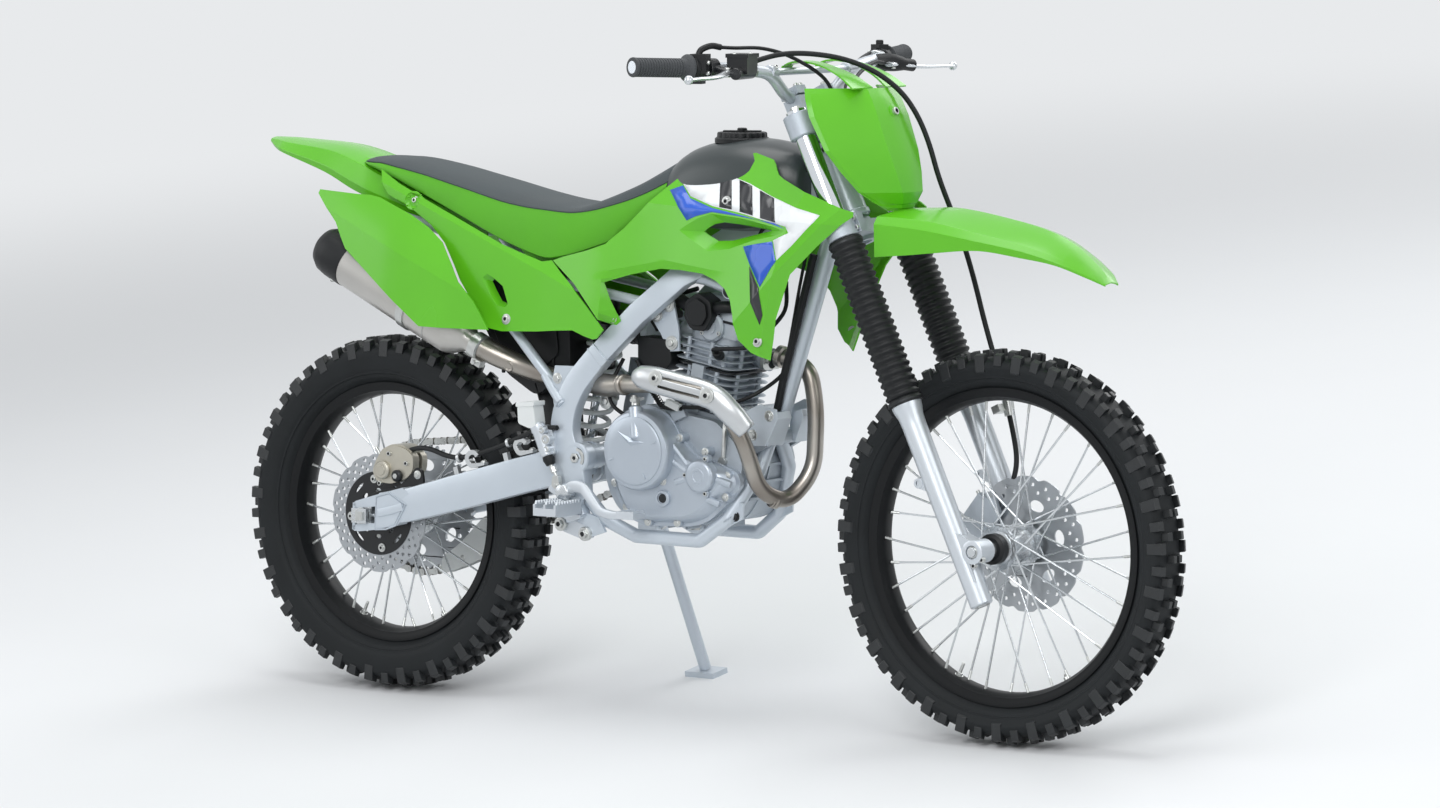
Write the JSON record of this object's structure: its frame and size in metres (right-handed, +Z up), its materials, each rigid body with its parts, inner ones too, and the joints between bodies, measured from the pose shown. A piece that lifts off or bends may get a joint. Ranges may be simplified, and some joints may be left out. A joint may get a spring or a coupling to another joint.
{
  "type": "off-road motorcycle",
  "caption": "Single-cylinder trail motorcycle with knobbly tyres, tall fork, finned engine and angular green bodywork, parked on its side stand.",
  "frame": {"origin": "bottom centre of the box round the parked machine, on the floor", "axes": "+X forward, +Y to the rider's left, +Z up; the machine leans to its left onto its stand"},
  "size_m": [2.022, 0.836, 1.2503],
  "materials": {
    "green_plastic": "gloss moulded plastic",
    "black_plastic": "satin moulded plastic",
    "tank_plastic": "satin moulded plastic",
    "white_plastic": "matte moulded plastic",
    "seat_cover": "grained vinyl",
    "frame_paint": "silver paint",
    "black_paint": "gloss black",
    "engine_alloy": "cast, satin",
    "bright_alloy": "polished",
    "exhaust_steel": "heat-stained",
    "muffler_steel": "brushed",
    "disc_steel": "ground",
    "chain_steel": "oiled",
    "stanchion_chrome": "hard chrome",
    "black_rubber": "matte",
    "tyre_rubber": "matte"
  },
  "bodies": {
    "frame": {"frame_head": "frame_paint", "frame_spars": "frame_paint", "frame_cradle": "frame_paint", "subframe": "frame_paint", "crankcase": "engine_alloy", "engine_covers": "engine_alloy", "cylinder": "engine_alloy", "cylinder_head": "engine_alloy", "carburettor": "engine_alloy", "airbox": "black_plastic", "exhaust_header": "exhaust_steel", "heat_shield": "muffler_steel", "muffler": "muffler_steel", "swingarm": "frame_paint", "rear_axle": "bright_alloy", "rear_shock": "black_paint", "chain": "chain_steel", "chain_guide": "white_plastic", "rear_brake_caliper": "bright_alloy", "rear_brake_master": "black_paint", "footpegs": "bright_alloy", "brake_pedal": "bright_alloy", "gear_lever": "bright_alloy", "fuel_tank": "tank_plastic", "fuel_cap": "black_plastic", "shroud_right": "green_plastic", "shroud_left": "green_plastic", "seat": "seat_cover", "side_cover_right": "green_plastic", "side_cover_left": "green_plastic", "number_panel_right": "green_plastic", "number_panel_left": "green_plastic", "rear_fender": "green_plastic", "rear_brake_hose": "black_rubber"},
    "steering": {"fork_clamps": "bright_alloy", "fork_tubes": "stanchion_chrome", "fork_boots": "black_rubber", "fork_lowers": "bright_alloy", "handlebar": "bright_alloy", "grips": "black_rubber", "levers": "bright_alloy", "front_number_plate": "green_plastic", "front_fender": "green_plastic", "front_axle": "bright_alloy", "front_brake_caliper": "bright_alloy", "front_brake_hose": "black_rubber"},
    "front_wheel": {"front_tyre": "tyre_rubber", "front_rim": "black_paint", "front_hub": "bright_alloy", "front_disc": "disc_steel"},
    "rear_wheel": {"rear_tyre": "tyre_rubber", "rear_rim": "black_paint", "rear_hub": "bright_alloy", "rear_disc": "disc_steel", "rear_sprocket": "bright_alloy"},
    "side_stand": {"side_stand": "frame_paint"}
  },
  "joints": [
    {"name": "steering", "type": "hinge", "parent": "frame", "child": "steering", "pos_m": [0.3127, -0.03405, 0.95167], "axis": [-0.4226, 0.1418, 0.8951], "range_deg": [-43, 43]},
    {"name": "front_wheel", "type": "hinge", "parent": "steering", "child": "front_wheel", "pos_m": [0.666, -0.13036, 0.34357], "axis": [0, 0.9877, -0.1564], "continuous": true},
    {"name": "rear_wheel", "type": "hinge", "parent": "frame", "child": "rear_wheel", "pos_m": [-0.684, -0.13318, 0.32579], "axis": [0, 0.9877, -0.1564], "continuous": true},
    {"name": "side_stand", "type": "hinge", "parent": "frame", "child": "side_stand", "pos_m": [-0.184, -0.0055, 0.31367], "axis": [0.1669, 0.9656, 0.1996], "range_deg": [0, 104.2]}
  ]
}
